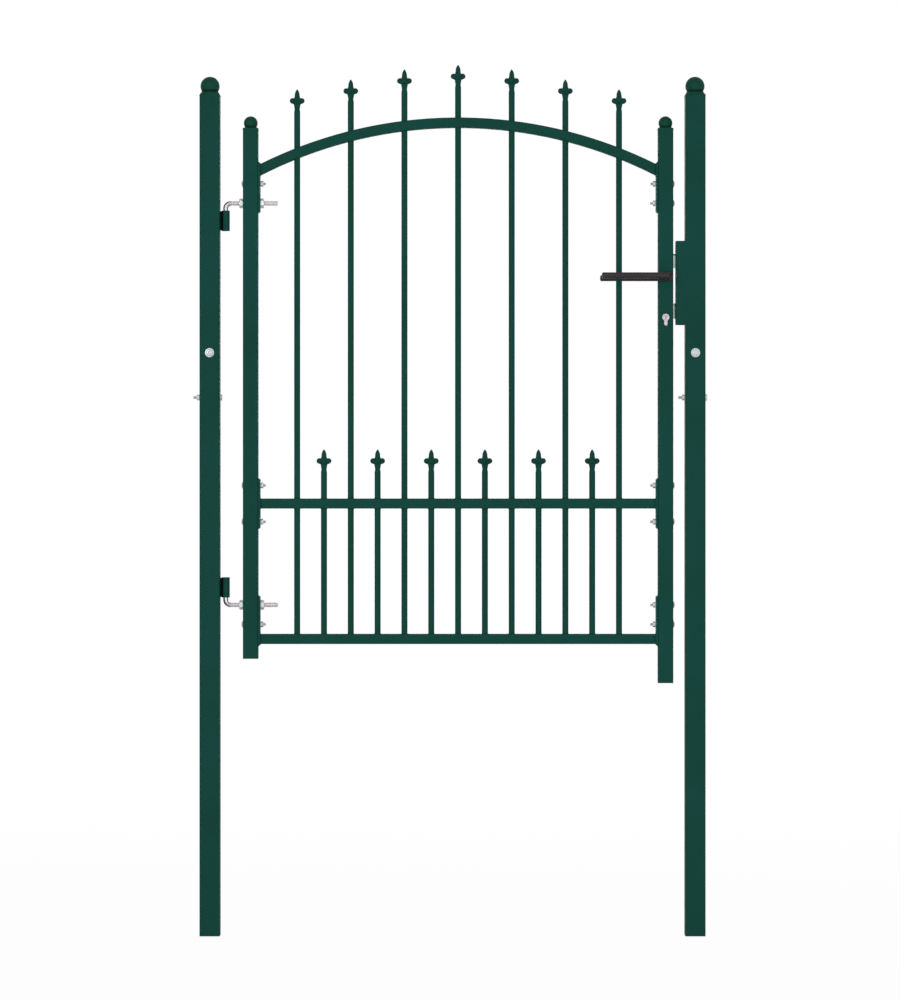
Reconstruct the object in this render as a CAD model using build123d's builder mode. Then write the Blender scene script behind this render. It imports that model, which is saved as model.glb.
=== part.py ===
from build123d import *
from math import cos, radians, sin
import os

# A spiked garden gate: two square posts, a hinged leaf of square tube with an arched
# top rail and round pickets, and a mortice lock with a lever on each side.
# Millimetres, +Z up, +X from the hinge post to the latch post, the front faces -Y.
# The origin is the centre of the hinge post's foot.

# Layout across the gate
overall_width = 1000.0
hinge_gap = 45.5
latch_gap = 23.5

# Posts
post_side = 40.0
post_wall = 1.5
post_corner = 3.0
post_height = 1661.0
post_ball_radius = 19.0
post_ball_rise = 20.0
post_neck_radius = 16.0
post_cap_rim = 1.5
post_cap_shoulder = 10.0
post_bolt_front_drop = 508.0
post_bolt_side_drop = 596.0

# Stiles
stile_side = 30.0
stile_wall = 1.5
stile_corner = 2.5
stile_drop = 67.0
hinge_stile_overhang = 39.0
lock_stile_overhang = 87.0
stile_ball_radius = 13.7
stile_ball_rise = 14.0
stile_neck_radius = 11.8
stile_cap_rim = 3.0
stile_cap_shoulder = 6.0

# What all ball caps share
cap_overhang = 0.5
cap_plug_depth = 16.0
cap_plug_clearance = 0.2

# Rails
rail_side = 20.0
rail_wall = 1.5
rail_corner = 2.0
arch_stand = 24.8
arch_rise = 92.0
bottom_rail_height = 587.0
lower_panel_height = 268.0

# End plates and the bolts that hold them to the stiles
plate_thickness = 4.0
plate_length = 100.0
plate_bevel = 2.5
plate_margin = 4.0
plate_bolt_edge = 18.5
plate_bolt_pitch = 38.5
mid_bolt_offset = 36.0
bolt_hole_radius = 3.3

# Pickets and their spear finials
end_bay = 72.9
tall_reach = 3
picket_radius = 6.0
picket_clearance = 0.15
picket_drops = (0.0, 9.0, 29.0, 48.5)
tall_stand = 104.6
short_stand = 107.0
finial_height = 44.5
finial_neck_rise = 5.0
finial_neck_radius = 5.1
finial_swell_rise = 14.5
finial_swell_radius = 6.6
finial_waist_rise = 29.0
finial_waist_radius = 5.7
finial_spear_rise = 31.0
finial_spear_radius = 5.0
finial_bulge_radius_share = 0.83
finial_bulge_rise_share = 0.52
finial_tip_radius = 0.6
lobe_rise = 19.9
lobe_span = 29.4
lobe_tilt = 12.0
lobe_root_radius = 7.3
lobe_end_radius = 5.6

# Hinges
hinge_offset = 11.0
barrel_radius = 8.0
barrel_length = 40.0
barrel_tab_width = 6.0
barrel_tab_inset = 1.0
hinge_bolt_radius = 5.0
hinge_bolt_tail = 35.0
hinge_bolt_bend = 12.0
hinge_bolt_chamfer = 1.0
hinge_pin_clearance = 0.1
hinge_pin_short = 1.5
hinge_hole_clearance = 0.2
barrel_stand_off = 14.6
hinge_nut_across_flats = 17.0
hinge_nut_thickness = 7.5
hinge_nut_bevel = 1.2

# Lever handles
lever_drop = 290.0
lever_length = 127.5
lever_grip_height = 12.0
lever_grip_depth = 13.0
lever_grip_round = 4.5
lever_tip_round = 3.0
lever_heel_reach = 6.2
lever_heel_round = 1.2
lever_centre_depth = 51.0
lever_hub_radius = 6.2
lever_stile_gap = 0.5
spindle_side = 7.0
spindle_socket_depth = 26.0
spindle_end_gap = 1.0
spindle_clearance = 0.1
spindle_bore_clearance = 0.25
spindle_hole_radius = 6.0

# Mortice lock
lock_centre_drop = 12.5
lock_case_length = 180.0
lock_case_depth = 18.0
lock_case_gap = 1.0
faceplate_length = 196.0
faceplate_width = 20.0
faceplate_thickness = 2.5
faceplate_clearance = 0.2
cylinder_spacing = 81.0
cylinder_radius = 6.9
cylinder_tail_width = 6.4
cylinder_drop = 16.0
cylinder_length = 36.0
cylinder_clearance = 0.2
cylinder_stile_gap = 0.8
keyway_width = 2.2
keyway_height = 7.6
keyway_depth = 6.0
latch_rise = 31.0
latch_tall = 27.2
latch_width = 11.0
latch_length = 25.0
latch_reach = 13.5
latch_bevel = 9.0
latch_clearance = 0.3
latch_channel_start = 1.0
dead_bolt_drop = 68.0
dead_bolt_tall = 30.0
dead_bolt_width = 9.0
dead_bolt_length = 7.0
dead_bolt_reach = 0.8
dead_bolt_clearance = 0.2

# Strike box on the latch post
strike_gap = 5.2
strike_length = 165.0
strike_wall = 2.0
strike_lap = 2.2
strike_corner = 3.0
strike_slot_margin = 2.0

# Every cut runs past the faces that it opens by this much
overrun = 2.0

# Places that follow from the sizes above
post_face = post_side / 2
latch_post_x = overall_width - post_side
leaf_start = post_face + hinge_gap
leaf_end = latch_post_x - post_face - latch_gap
hinge_stile_x = leaf_start + stile_side / 2
lock_stile_x = leaf_end - stile_side / 2
panel_x = (leaf_start + leaf_end) / 2
hinge_plate_x = leaf_start + stile_side
lock_plate_x = leaf_end - stile_side
rail_start = hinge_plate_x + plate_thickness
rail_end = lock_plate_x - plate_thickness
hinge_x = post_face + hinge_offset
hinge_bolt_reach = rail_start + hinge_bolt_tail
picket_hole_radius = picket_radius + picket_clearance

post_bolt_front_height = post_height - post_bolt_front_drop
post_bolt_side_height = post_height - post_bolt_side_drop
stile_top = post_height - stile_drop
hinge_stile_foot = bottom_rail_height - hinge_stile_overhang
lock_stile_foot = bottom_rail_height - lock_stile_overhang
arch_half_span = (rail_end - rail_start) / 2
arch_radius = (arch_half_span ** 2 + arch_rise ** 2) / (2 * arch_rise)
arch_crown = stile_top + arch_stand
arch_centre = arch_crown - arch_radius
mid_rail_height = bottom_rail_height + lower_panel_height
upper_plate_foot = arch_crown - arch_rise + plate_margin - plate_length
mid_plate_foot = mid_rail_height - plate_length / 2
lower_plate_foot = bottom_rail_height - rail_side / 2 - plate_margin
lever_height = stile_top - lever_drop
lock_centre_height = lever_height - lock_centre_drop
cylinder_height = lever_height - cylinder_spacing
latch_height = lever_height + latch_rise
dead_bolt_height = lever_height - dead_bolt_drop

upper_hinge_height = upper_plate_foot + plate_bolt_edge
lower_hinge_height = lower_plate_foot + plate_length - plate_bolt_edge
upper_bolt_heights = (upper_hinge_height, upper_hinge_height + plate_bolt_pitch)
mid_bolt_heights = (mid_rail_height - mid_bolt_offset, mid_rail_height + mid_bolt_offset)
lower_bolt_heights = (lower_hinge_height, lower_hinge_height - plate_bolt_pitch)
hinge_heights = (upper_hinge_height, lower_hinge_height)
all_bolt_heights = upper_bolt_heights + mid_bolt_heights + lower_bolt_heights
plain_bolt_heights = [height for height in all_bolt_heights if height not in hinge_heights]

tall_pitch = (arch_half_span - end_bay) / tall_reach
tall_tip = arch_crown + tall_stand
short_tip = mid_rail_height + short_stand
tall_steps = range(-tall_reach, tall_reach + 1)
tall_places = [(panel_x + step * tall_pitch, tall_tip - picket_drops[abs(step)]) for step in tall_steps]
short_places = [(x + tall_pitch / 2, short_tip) for x, tip in tall_places[:-1]]
tall_columns = [(x, 0) for x, tip in tall_places]
all_columns = tall_columns + [(x, 0) for x, tip in short_places]

os.makedirs("parts", exist_ok=True)


def save(piece, name):
    """Label a finished piece and write it as its own file."""
    piece.label = name
    export_step(piece, f"parts/{name}.step")


def square_tube(side, wall, corner, x, foot, top):
    """An upright square tube with rounded corners, centred on x."""
    bore = side - 2 * wall
    with BuildPart() as tube:
        with BuildSketch(Plane.XY.offset(foot)):
            with Locations((x, 0)):
                RectangleRounded(side, side, corner)
                RectangleRounded(bore, bore, corner - wall, mode=Mode.SUBTRACT)
        extrude(amount=top - foot)
    return tube.part


def ball_cap(side, wall, corner, x, top, ball_radius, ball_rise, neck_radius, rim, shoulder):
    """A ball on a sloping square shoulder, with a plug that fills the tube's mouth."""
    plug = side - 2 * wall - 2 * cap_plug_clearance
    brim = side + 2 * cap_overhang
    neck = 2 * neck_radius
    neck_round_share = 0.48
    with BuildPart() as cap:
        with BuildSketch(Plane.XY.offset(top - cap_plug_depth)):
            with Locations((x, 0)):
                RectangleRounded(plug, plug, corner - wall)
        extrude(amount=cap_plug_depth)
        with BuildSketch(Plane.XY.offset(top)):
            with Locations((x, 0)):
                RectangleRounded(brim, brim, corner + cap_overhang)
        extrude(amount=rim)
        with BuildSketch(Plane.XY.offset(top + rim)):
            with Locations((x, 0)):
                RectangleRounded(brim, brim, corner + cap_overhang)
        with BuildSketch(Plane.XY.offset(top + shoulder)):
            with Locations((x, 0)):
                RectangleRounded(neck, neck, neck_round_share * neck)
        loft()
        with Locations((x, 0, top + ball_rise)):
            Sphere(ball_radius)
    return cap.part


# Posts, each punched for one bolt from front to back and one from side to side
for name, x in (("hinge_post", 0), ("latch_post", latch_post_x)):
    tube = square_tube(post_side, post_wall, post_corner, x, 0, post_height)
    with BuildPart() as post:
        add(tube)
        with BuildSketch(Plane.XZ):
            with Locations((x, post_bolt_front_height)):
                Circle(bolt_hole_radius)
        extrude(amount=post_side, both=True, mode=Mode.SUBTRACT)
        with BuildSketch(Plane.YZ.offset(x)):
            with Locations((0, post_bolt_side_height)):
                Circle(bolt_hole_radius)
        extrude(amount=post_side, both=True, mode=Mode.SUBTRACT)
    save(post.part, name)
    cap = ball_cap(
        post_side, post_wall, post_corner, x, post_height,
        post_ball_radius, post_ball_rise, post_neck_radius, post_cap_rim, post_cap_shoulder,
    )
    save(cap, f"{name}_cap")


# Caps of the two stiles
for name, x in (("hinge_stile_cap", hinge_stile_x), ("lock_stile_cap", lock_stile_x)):
    cap = ball_cap(
        stile_side, stile_wall, stile_corner, x, stile_top,
        stile_ball_radius, stile_ball_rise, stile_neck_radius, stile_cap_rim, stile_cap_shoulder,
    )
    save(cap, name)


# Hinge stile, drilled for the plate bolts and for the two hinge bolts
hinge_stile_tube = square_tube(
    stile_side, stile_wall, stile_corner, hinge_stile_x, hinge_stile_foot, stile_top
)
with BuildPart() as hinge_stile:
    add(hinge_stile_tube)
    with BuildSketch(Plane.YZ.offset(hinge_stile_x)):
        with Locations([(0, height) for height in plain_bolt_heights]):
            Circle(bolt_hole_radius)
        with Locations([(0, height) for height in hinge_heights]):
            Circle(hinge_bolt_radius + hinge_hole_clearance)
    extrude(amount=stile_side, both=True, mode=Mode.SUBTRACT)
save(hinge_stile.part, "hinge_stile")


def cylinder_outline(grow):
    """The lock cylinder's keyhole outline, drawn on the gate's front, grown by a clearance."""
    radius = cylinder_radius + grow
    tail_radius = cylinder_tail_width / 2 + grow
    tail_foot = cylinder_height - cylinder_drop + cylinder_tail_width / 2
    with BuildSketch(Plane.XZ) as outline:
        with Locations((lock_stile_x, cylinder_height)):
            Circle(radius)
        with Locations((lock_stile_x, (cylinder_height + tail_foot) / 2)):
            Rectangle(2 * tail_radius, cylinder_height - tail_foot)
        with Locations((lock_stile_x, tail_foot)):
            Circle(tail_radius)
    return outline.sketch


# Lock stile, drilled for the plate bolts and cut for the lock, its spindle and its cylinder
lock_stile_tube = square_tube(
    stile_side, stile_wall, stile_corner, lock_stile_x, lock_stile_foot, stile_top
)
stile_keyhole = cylinder_outline(cylinder_stile_gap)
with BuildPart() as lock_stile:
    add(lock_stile_tube)
    with BuildSketch(Plane.YZ.offset(lock_stile_x)):
        with Locations([(0, height) for height in all_bolt_heights]):
            Circle(bolt_hole_radius)
    extrude(amount=stile_side, both=True, mode=Mode.SUBTRACT)
    with BuildSketch(Plane.YZ.offset(lock_stile_x)):
        with Locations((0, lock_centre_height)):
            Rectangle(faceplate_width + 2 * faceplate_clearance, faceplate_length + 2 * faceplate_clearance)
    extrude(amount=stile_side, mode=Mode.SUBTRACT)
    with BuildSketch(Plane.XZ):
        with Locations((lock_stile_x, lever_height)):
            Circle(spindle_hole_radius)
    extrude(amount=stile_side, both=True, mode=Mode.SUBTRACT)
    extrude(stile_keyhole, amount=stile_side, both=True, mode=Mode.SUBTRACT)
save(lock_stile.part, "lock_stile")


# End plates, bevelled on the panel side and drilled like the stiles
plate_rows = (
    ("upper", upper_plate_foot, upper_bolt_heights, upper_hinge_height),
    ("mid", mid_plate_foot, mid_bolt_heights, None),
    ("lower", lower_plate_foot, lower_bolt_heights, lower_hinge_height),
)
for row, foot, bolt_heights, hinge_height in plate_rows:
    for stile, face, outward in (("hinge", hinge_plate_x, 1), ("lock", lock_plate_x, -1)):
        with BuildPart() as plate:
            with BuildSketch(Plane.XZ):
                with Locations((face + outward * plate_thickness / 2, foot + plate_length / 2)):
                    Rectangle(plate_thickness, plate_length)
            extrude(amount=stile_side / 2, both=True)
            panel_face = plate.faces().sort_by(Axis.X)[-1 if outward > 0 else 0]
            chamfer(panel_face.edges().filter_by(Axis.Y), plate_bevel)
            with BuildSketch(Plane.YZ.offset(face)):
                for height in bolt_heights:
                    hole_radius = bolt_hole_radius
                    if stile == "hinge" and height == hinge_height:
                        hole_radius = hinge_bolt_radius + hinge_hole_clearance
                    with Locations((0, height)):
                        Circle(hole_radius)
            extrude(amount=plate_thickness + overrun, both=True, mode=Mode.SUBTRACT)
        save(plate.part, f"{row}_{stile}_plate")


# Arch rail, a square tube bent to a circle and trimmed square to the end plates
with BuildPart() as arch_rail:
    with BuildSketch(Plane.XZ):
        with Locations((panel_x, arch_centre)):
            Circle(arch_radius)
            Circle(arch_radius - rail_side, mode=Mode.SUBTRACT)
        with Locations((panel_x, arch_crown)):
            Rectangle(rail_end - rail_start, arch_radius, mode=Mode.INTERSECT)
    extrude(amount=rail_side / 2, both=True)
    fillet(arch_rail.edges().filter_by(GeomType.CIRCLE), rail_corner)
    with BuildSketch(Plane.XZ):
        with Locations((panel_x, arch_centre)):
            Circle(arch_radius - rail_wall)
            Circle(arch_radius - rail_side + rail_wall, mode=Mode.SUBTRACT)
        with Locations((panel_x, arch_crown)):
            Rectangle(rail_end - rail_start + overrun, arch_radius, mode=Mode.INTERSECT)
    extrude(amount=rail_side / 2 - rail_wall, both=True, mode=Mode.SUBTRACT)
    with BuildSketch(Plane.XY.offset(upper_plate_foot)):
        with Locations(tall_columns):
            Circle(picket_hole_radius)
    extrude(amount=arch_crown - upper_plate_foot + overrun, mode=Mode.SUBTRACT)
save(arch_rail.part, "arch_rail")


def straight_rail(height, punch_foot):
    """A level rail between the end plates, punched for the pickets from punch_foot upwards."""
    bore = rail_side - 2 * rail_wall
    with BuildPart() as rail:
        with BuildSketch(Plane.YZ.offset(rail_start)):
            with Locations((0, height)):
                RectangleRounded(rail_side, rail_side, rail_corner)
                RectangleRounded(bore, bore, rail_corner - rail_wall, mode=Mode.SUBTRACT)
        extrude(amount=rail_end - rail_start)
        with BuildSketch(Plane.XY.offset(punch_foot)):
            with Locations(all_columns):
                Circle(picket_hole_radius)
        extrude(amount=rail_side + overrun, mode=Mode.SUBTRACT)
    return rail.part


save(straight_rail(mid_rail_height, mid_rail_height - rail_side / 2 - overrun / 2), "mid_rail")
save(straight_rail(bottom_rail_height, bottom_rail_height), "bottom_rail")


def picket(x, tip):
    """A round bar standing in the bottom rail, drawn out at the top into a four-lobed spear."""
    foot = bottom_rail_height - rail_side / 2 + rail_wall
    shoulder = tip - finial_height
    neck = (x + finial_neck_radius, shoulder + finial_neck_rise)
    swell = (x + finial_swell_radius, shoulder + finial_swell_rise)
    waist = (x + finial_waist_radius, shoulder + finial_waist_rise)
    spear = (x + finial_spear_radius, shoulder + finial_spear_rise)
    spear_length = finial_height - finial_spear_rise
    bulge_radius = finial_bulge_radius_share * finial_spear_radius
    bulge = (x + bulge_radius, shoulder + finial_spear_rise + finial_bulge_rise_share * spear_length)
    point = (x + finial_tip_radius, tip)
    lobe_root = (x, 0, shoulder + lobe_rise)
    lobe_reach = (lobe_span / 2 - lobe_end_radius) / cos(radians(lobe_tilt))
    with BuildPart() as bar:
        with BuildSketch(Plane.XZ):
            with BuildLine():
                Polyline((x, tip), (x, foot), (x + picket_radius, foot))
                Polyline((x + picket_radius, foot), (x + picket_radius, shoulder), neck, swell, waist, spear)
                ThreePointArc(spear, bulge, point)
                Line(point, (x, tip))
            make_face()
        revolve(axis=Axis((x, 0, 0), (0, 0, 1)))
        for quarter in range(4):
            outward = Vector(1, 0, 0).rotate(Axis.Z, 90 * quarter)
            along = outward * cos(radians(lobe_tilt)) + Vector(0, 0, 1) * sin(radians(lobe_tilt))
            across = outward.cross(Vector(0, 0, 1))
            with BuildSketch(Plane(lobe_root, along, across)):
                with BuildLine():
                    Line((0, 0), (lobe_reach + lobe_end_radius, 0))
                    CenterArc((lobe_reach, 0), lobe_end_radius, 0, 90)
                    Polyline((lobe_reach, lobe_end_radius), (0, lobe_root_radius), (0, 0))
                make_face()
            revolve(axis=Axis(lobe_root, along))
    return bar.part


for number, (x, tip) in enumerate(tall_places, 1):
    save(picket(x, tip), f"tall_picket_{number}")
for number, (x, tip) in enumerate(short_places, 1):
    save(picket(x, tip), f"short_picket_{number}")


def hex_nut(start, height):
    """A hexagon nut on a hinge bolt, a corner upwards, with its corners turned off on both faces."""
    flat = hinge_nut_across_flats / 2
    end = start + hinge_nut_thickness
    corner = height + flat + hinge_nut_bevel
    with BuildPart() as nut:
        with BuildSketch(Plane.YZ.offset(start)):
            with Locations((0, height)):
                RegularPolygon(flat, 6, major_radius=False, rotation=90)
        extrude(amount=hinge_nut_thickness)
        with BuildSketch(Plane.XZ):
            with BuildLine():
                Polyline(
                    (start, height), (start, height + flat), (start + hinge_nut_bevel, corner),
                    (end - hinge_nut_bevel, corner), (end, height + flat), (end, height), close=True,
                )
            make_face()
        revolve(axis=Axis((0, 0, height), (1, 0, 0)), mode=Mode.INTERSECT)
        with BuildSketch(Plane.YZ.offset(start)):
            with Locations((0, height)):
                Circle(hinge_bolt_radius + hinge_hole_clearance)
        extrude(amount=hinge_nut_thickness, mode=Mode.SUBTRACT)
    return nut.part


# Hinges: a barrel welded to the post on a tab, an L-shaped bolt whose bent leg turns in it,
# and a nut on each side of the stile. The upper leg points down and the lower leg up.
for row, height, turn in (("upper", upper_hinge_height, -1), ("lower", lower_hinge_height, 1)):
    near_end = height + turn * barrel_stand_off
    far_end = near_end + turn * barrel_length
    barrel_foot = min(near_end, far_end)
    with BuildPart() as barrel:
        with BuildSketch(Plane.XY.offset(barrel_foot)):
            with Locations((hinge_x, 0)):
                Circle(barrel_radius)
        extrude(amount=barrel_length)
        with BuildSketch(Plane.XY.offset(barrel_foot + barrel_tab_inset)):
            with Locations((post_face + hinge_offset / 2, 0)):
                Rectangle(hinge_offset, barrel_tab_width)
        extrude(amount=barrel_length - 2 * barrel_tab_inset)
        with BuildSketch(Plane.XY.offset(barrel_foot)):
            with Locations((hinge_x, 0)):
                Circle(hinge_bolt_radius + hinge_pin_clearance)
        extrude(amount=barrel_length, mode=Mode.SUBTRACT)
    save(barrel.part, f"{row}_hinge_barrel")

    pin_end = far_end - turn * hinge_pin_short
    with BuildPart() as hinge_bolt:
        with BuildLine():
            FilletPolyline(
                (hinge_bolt_reach, 0, height), (hinge_x, 0, height), (hinge_x, 0, pin_end),
                radius=hinge_bolt_bend,
            )
        with BuildSketch(Plane.YZ.offset(hinge_bolt_reach)):
            with Locations((0, height)):
                Circle(hinge_bolt_radius)
        sweep()
        ends = hinge_bolt.faces().filter_by(GeomType.PLANE)
        chamfer(ends.edges(), hinge_bolt_chamfer)
    save(hinge_bolt.part, f"{row}_hinge_bolt")

    nuts = [hex_nut(start, height) for start in (leaf_start - hinge_nut_thickness, rail_start)]
    with BuildPart() as hinge_nuts:
        add(nuts)
    save(hinge_nuts.part, f"{row}_hinge_nuts")


# Mortice lock: a case behind a faceplate that lies flush in the stile's outer wall
case_start = lock_plate_x + stile_wall + lock_case_gap
faceplate_back = leaf_end - faceplate_thickness
case_keyhole = cylinder_outline(cylinder_clearance)
spindle_bore = spindle_side * 2 ** 0.5 / 2 + spindle_bore_clearance
latch_tip = leaf_end + latch_reach
dead_bolt_tip = leaf_end + dead_bolt_reach
with BuildPart() as lock_case:
    with BuildSketch(Plane.XZ):
        with Locations(((case_start + faceplate_back) / 2, lock_centre_height)):
            Rectangle(faceplate_back - case_start, lock_case_length)
    extrude(amount=lock_case_depth / 2, both=True)
    with BuildSketch(Plane.YZ.offset(faceplate_back)):
        with Locations((0, lock_centre_height)):
            Rectangle(faceplate_width, faceplate_length)
    extrude(amount=faceplate_thickness)
    with BuildSketch(Plane.XZ):
        with Locations((lock_stile_x, lever_height)):
            Circle(spindle_bore)
    extrude(amount=lock_case_depth, both=True, mode=Mode.SUBTRACT)
    extrude(case_keyhole, amount=lock_case_depth, both=True, mode=Mode.SUBTRACT)
    with BuildSketch(Plane.YZ.offset(case_start + latch_channel_start)):
        with Locations((0, latch_height)):
            Rectangle(latch_width + 2 * latch_clearance, latch_tall + 2 * latch_clearance)
    extrude(amount=stile_side, mode=Mode.SUBTRACT)
    with BuildSketch(Plane.YZ.offset(dead_bolt_tip - dead_bolt_length - dead_bolt_clearance)):
        with Locations((0, dead_bolt_height)):
            Rectangle(dead_bolt_width + 2 * dead_bolt_clearance, dead_bolt_tall + 2 * dead_bolt_clearance)
    extrude(amount=stile_side, mode=Mode.SUBTRACT)
save(lock_case.part, "lock_case")

# The cylinder's keyhole-shaped body, with a keyway in each end
cylinder_face = cylinder_outline(0)
with BuildPart() as lock_cylinder:
    extrude(cylinder_face, amount=cylinder_length / 2, both=True)
    for end_plane in (Plane.XZ.offset(cylinder_length / 2), Plane.XZ.offset(-cylinder_length / 2)):
        with BuildSketch(end_plane):
            with Locations((lock_stile_x, cylinder_height)):
                Rectangle(keyway_width, keyway_height)
        extrude(amount=keyway_depth, both=True, mode=Mode.SUBTRACT)
save(lock_cylinder.part, "lock_cylinder")

# Dead bolt, drawn back into the lock
with BuildPart() as dead_bolt:
    with BuildSketch(Plane.YZ.offset(dead_bolt_tip - dead_bolt_length)):
        with Locations((0, dead_bolt_height)):
            Rectangle(dead_bolt_width, dead_bolt_tall)
    extrude(amount=dead_bolt_length)
save(dead_bolt.part, "dead_bolt")

# Spring latch, bevelled on the side that meets the strike box as the leaf closes
latch_half = latch_width / 2
with BuildPart() as latch_bolt:
    with BuildSketch(Plane.XY.offset(latch_height - latch_tall / 2)):
        with BuildLine():
            Polyline(
                (latch_tip - latch_length, -latch_half),
                (latch_tip - latch_bevel, -latch_half),
                (latch_tip, latch_bevel - latch_half),
                (latch_tip, latch_half),
                (latch_tip - latch_length, latch_half),
                close=True,
            )
        make_face()
    extrude(amount=latch_tall)
save(latch_bolt.part, "latch_bolt")


# Lever handles: a level grip towards the hinge side, on a round hub out from the stile
hub_start = stile_side / 2 + lever_stile_gap
socket_side = spindle_side + 2 * spindle_clearance
with BuildPart() as front_lever:
    with BuildSketch(Plane.YZ.offset(lock_stile_x + lever_heel_reach)):
        with Locations((-lever_centre_depth, lever_height)):
            RectangleRounded(lever_grip_depth, lever_grip_height, lever_grip_round)
    extrude(amount=-lever_length - lever_heel_reach)
    grip_ends = front_lever.faces().sort_by(Axis.X)
    fillet(grip_ends[0].edges(), lever_tip_round)
    fillet(grip_ends[-1].edges(), lever_heel_round)
    with BuildSketch(Plane.XZ.offset(hub_start)):
        with Locations((lock_stile_x, lever_height)):
            Circle(lever_hub_radius)
    extrude(amount=lever_centre_depth - hub_start)
    with BuildSketch(Plane.XZ.offset(hub_start)):
        with Locations((lock_stile_x, lever_height)):
            Rectangle(socket_side, socket_side)
    extrude(amount=spindle_socket_depth, mode=Mode.SUBTRACT)
save(front_lever.part, "front_lever")
save(mirror(front_lever.part, about=Plane.XZ), "back_lever")

# Square spindle through the lock, seated in both hubs
spindle_half = hub_start + spindle_socket_depth - spindle_end_gap
with BuildPart() as lever_spindle:
    with BuildSketch(Plane.XZ):
        with Locations((lock_stile_x, lever_height)):
            Rectangle(spindle_side, spindle_side)
    extrude(amount=spindle_half, both=True)
save(lever_spindle.part, "lever_spindle")


# Strike box: a folded cover, flush with the latch post and lapped round its corners,
# slotted for the latch and the dead bolt
strike_start = leaf_end + strike_gap
strike_depth = latch_gap - strike_gap + strike_lap
strike_foot = lock_centre_height - strike_length / 2
strike_middle = strike_start + strike_depth / 2
with BuildPart() as strike_box:
    with BuildSketch(Plane.XY.offset(strike_foot)) as strike_fold:
        with Locations((strike_middle, 0)):
            Rectangle(strike_depth, post_side)
        fillet(strike_fold.vertices().sort_by(Axis.X)[:2], strike_corner)
        with Locations((strike_middle + strike_wall, 0)):
            Rectangle(strike_depth, post_side - 2 * strike_wall, mode=Mode.SUBTRACT)
        with Locations((latch_post_x, 0)):
            RectangleRounded(post_side, post_side, post_corner, mode=Mode.SUBTRACT)
    extrude(amount=strike_length)
    with BuildSketch(Plane.YZ.offset(strike_start - overrun)):
        with Locations((0, latch_height)):
            Rectangle(latch_width + 2 * strike_slot_margin, latch_tall + 2 * strike_slot_margin)
        with Locations((0, dead_bolt_height)):
            Rectangle(dead_bolt_width + 2 * strike_slot_margin, dead_bolt_tall + 2 * strike_slot_margin)
    extrude(amount=strike_wall + 2 * overrun, mode=Mode.SUBTRACT)
save(strike_box.part, "strike_box")
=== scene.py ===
# %% [markdown]
# # A spiked fence gate
# This lesson dresses the solids of a green garden gate: two posts, a leaf with spear-topped
# pickets, two hinges and a lock. The solids come in as a fixed frame, in metres, +Z up, and
# the front looks towards -Y. They keep their shapes. What this script adds is what a solid
# model leaves out: finishes, bolts, screw threads, weld beads and light.

# %% Load the frame and measure it
from math import ceil, cos, pi, radians, tan

import bmesh
import bpy
from mathutils import Color, Matrix, Vector


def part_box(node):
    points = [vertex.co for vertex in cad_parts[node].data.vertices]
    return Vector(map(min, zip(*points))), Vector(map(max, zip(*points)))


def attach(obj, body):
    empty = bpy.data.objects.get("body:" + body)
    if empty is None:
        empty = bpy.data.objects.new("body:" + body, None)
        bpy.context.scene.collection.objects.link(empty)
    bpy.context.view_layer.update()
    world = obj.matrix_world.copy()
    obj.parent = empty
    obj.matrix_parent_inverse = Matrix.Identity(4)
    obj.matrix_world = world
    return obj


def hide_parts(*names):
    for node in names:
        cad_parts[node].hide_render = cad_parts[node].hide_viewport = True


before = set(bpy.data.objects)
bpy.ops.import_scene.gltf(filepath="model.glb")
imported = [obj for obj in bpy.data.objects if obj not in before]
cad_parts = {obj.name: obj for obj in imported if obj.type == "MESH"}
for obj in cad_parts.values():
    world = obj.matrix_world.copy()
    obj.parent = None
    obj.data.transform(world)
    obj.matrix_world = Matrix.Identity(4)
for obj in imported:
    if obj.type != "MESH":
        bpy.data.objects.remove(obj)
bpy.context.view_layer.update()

MM = 0.001
scene = bpy.context.scene


def middle_of(node):
    """The middle of a solid's box."""
    low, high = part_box(node)
    return (low + high) / 2


print("solids:", len(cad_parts))

# %% [markdown]
# ## Shader sums as Python sums
# A finish is a small graph of nodes. Drawing each link by hand hides the idea, so one class
# wraps a node's output and lets ordinary operators add the Math nodes. `node` adds any other
# node: its type, its settings, then the values or wires of its sockets. The methods after the
# operators add the few nodes that most finishes of this gate share.

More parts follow.
